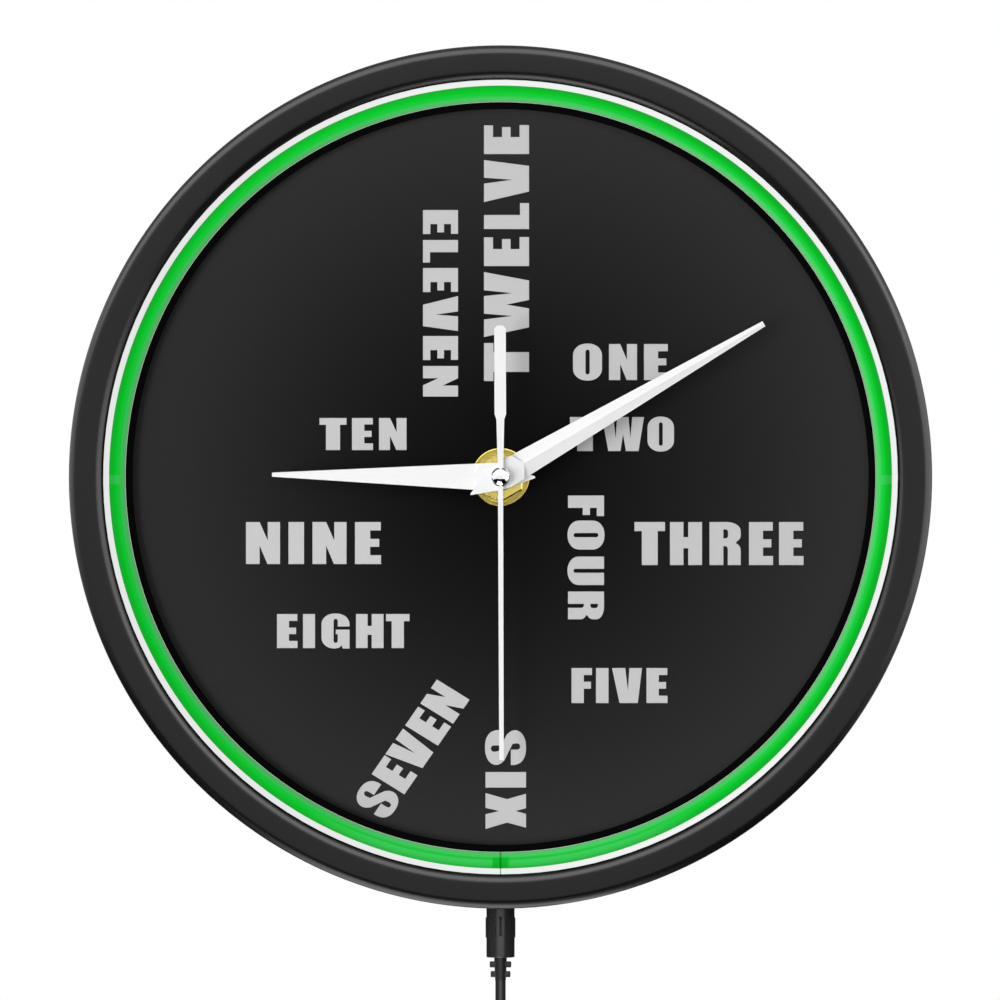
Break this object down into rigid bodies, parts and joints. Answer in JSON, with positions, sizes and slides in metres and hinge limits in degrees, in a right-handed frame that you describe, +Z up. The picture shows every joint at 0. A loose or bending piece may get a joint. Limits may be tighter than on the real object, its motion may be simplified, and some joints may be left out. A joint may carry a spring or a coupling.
{
  "type": "wall clock",
  "caption": "Round wall clock with the hours written as words on a black dial, a lit ring round the dial, white hands and a plug-in power lead.",
  "frame": {"origin": "the wall screw's seat at the top of the keyhole, on the plane of the wall", "axes": "+X to the viewer's right, +Y into the wall, +Z up; the clock hangs as it does in use"},
  "size_m": [0.254, 0.04, 0.3811],
  "materials": {
    "bezel_plastic": "fine satin black",
    "back_plastic": "matt black",
    "dial_black": "satin black",
    "trim_black": "gloss black",
    "diffuser_white": "matt white",
    "tube_green": "translucent green, lit",
    "strip_white": "white flexible board",
    "lamp_green": "clear green",
    "movement_black": "moulded black",
    "rubber_black": "matt",
    "brass": "turned",
    "gear_natural": "natural moulded plastic",
    "gear_red": "red moulded plastic",
    "steel": "bright",
    "copper": "enamelled winding",
    "board_green": "solder mask",
    "cell_body": "printed sleeve",
    "hand_white": "white enamel",
    "chrome": "polished",
    "jack_black": "moulded black",
    "plug_rubber": "satin black",
    "cord_rubber": "satin black",
    "tie_black": "moulded black"
  },
  "bodies": {
    "case": {"front_bezel": "bezel_plastic", "rear_case": "back_plastic", "dial_plate": "dial_black", "dial_trim_ring": "trim_black", "light_channel": "diffuser_white", "light_tube": "tube_green", "led_strip": "strip_white", "leds": "lamp_green", "movement_case": "movement_black", "movement_cover": "movement_black", "movement_plate": "gear_natural", "rubber_washer": "rubber_black", "brass_washer": "brass", "hex_nut": "brass", "stator": "steel", "coil_core": "steel", "coil_bobbin": "copper", "circuit_board": "board_green", "crystal": "steel", "battery": "cell_body", "battery_contact_plus": "steel", "battery_contact_minus": "steel", "driver_board": "board_green", "dc_jack": "jack_black", "led_wires": "rubber_black"},
    "second_train": {"second_wheel": "gear_natural", "second_hand": "hand_white", "hand_cap": "chrome"},
    "minute_train": {"centre_wheel": "gear_natural", "minute_pipe": "brass", "minute_hand": "hand_white"},
    "hour_train": {"hour_wheel": "gear_natural", "hour_hand": "hand_white"},
    "third_train": {"third_wheel": "gear_natural"},
    "motion_train": {"motion_wheel": "gear_natural", "setting_knob": "gear_red"},
    "fifth_train": {"fifth_wheel": "gear_natural"},
    "rotor_train": {"rotor": "gear_red"},
    "lead": {"dc_plug": "plug_rubber", "strain_relief": "plug_rubber", "cord_lead": "cord_rubber", "cord_coil": "cord_rubber", "cord_tie": "tie_black", "cord_tail": "cord_rubber", "usb_plug": "plug_rubber"}
  },
  "joints": [
    {"name": "second_turn", "type": "hinge", "parent": "case", "child": "second_train", "pos_m": [0, -0.037, -0.092], "axis": [0, 1, 0], "continuous": true},
    {"name": "minute_turn", "type": "hinge", "parent": "case", "child": "minute_train", "pos_m": [0, -0.036, -0.092], "axis": [0, 1, 0], "continuous": true},
    {"name": "hour_turn", "type": "hinge", "parent": "case", "child": "hour_train", "pos_m": [0, -0.035, -0.092], "axis": [0, 1, 0], "continuous": true},
    {"name": "third_turn", "type": "hinge", "parent": "case", "child": "third_train", "pos_m": [-0.0071, -0.018, -0.08941], "axis": [0, 1, 0], "continuous": true},
    {"name": "motion_turn", "type": "hinge", "parent": "case", "child": "motion_train", "pos_m": [0.00425, -0.024, -0.08464], "axis": [0, 1, 0], "continuous": true},
    {"name": "fifth_turn", "type": "hinge", "parent": "case", "child": "fifth_train", "pos_m": [0.00677, -0.016, -0.09446], "axis": [0, 1, 0], "continuous": true},
    {"name": "rotor_turn", "type": "hinge", "parent": "case", "child": "rotor_train", "pos_m": [0.01297, -0.016, -0.09337], "axis": [0, 1, 0], "continuous": true},
    {"name": "plug_pull", "type": "slide", "parent": "case", "child": "lead", "axis": [0, 0, -1], "range_m": [0, 0.011]}
  ],
  "couplings": [
    {"joint": "minute_turn", "follows": "second_turn", "ratio": 0.016667},
    {"joint": "hour_turn", "follows": "second_turn", "ratio": 0.0013889},
    {"joint": "third_turn", "follows": "second_turn", "ratio": -0.13333},
    {"joint": "motion_turn", "follows": "second_turn", "ratio": -0.0055556},
    {"joint": "fifth_turn", "follows": "second_turn", "ratio": -5},
    {"joint": "rotor_turn", "follows": "second_turn", "ratio": 30}
  ]
}
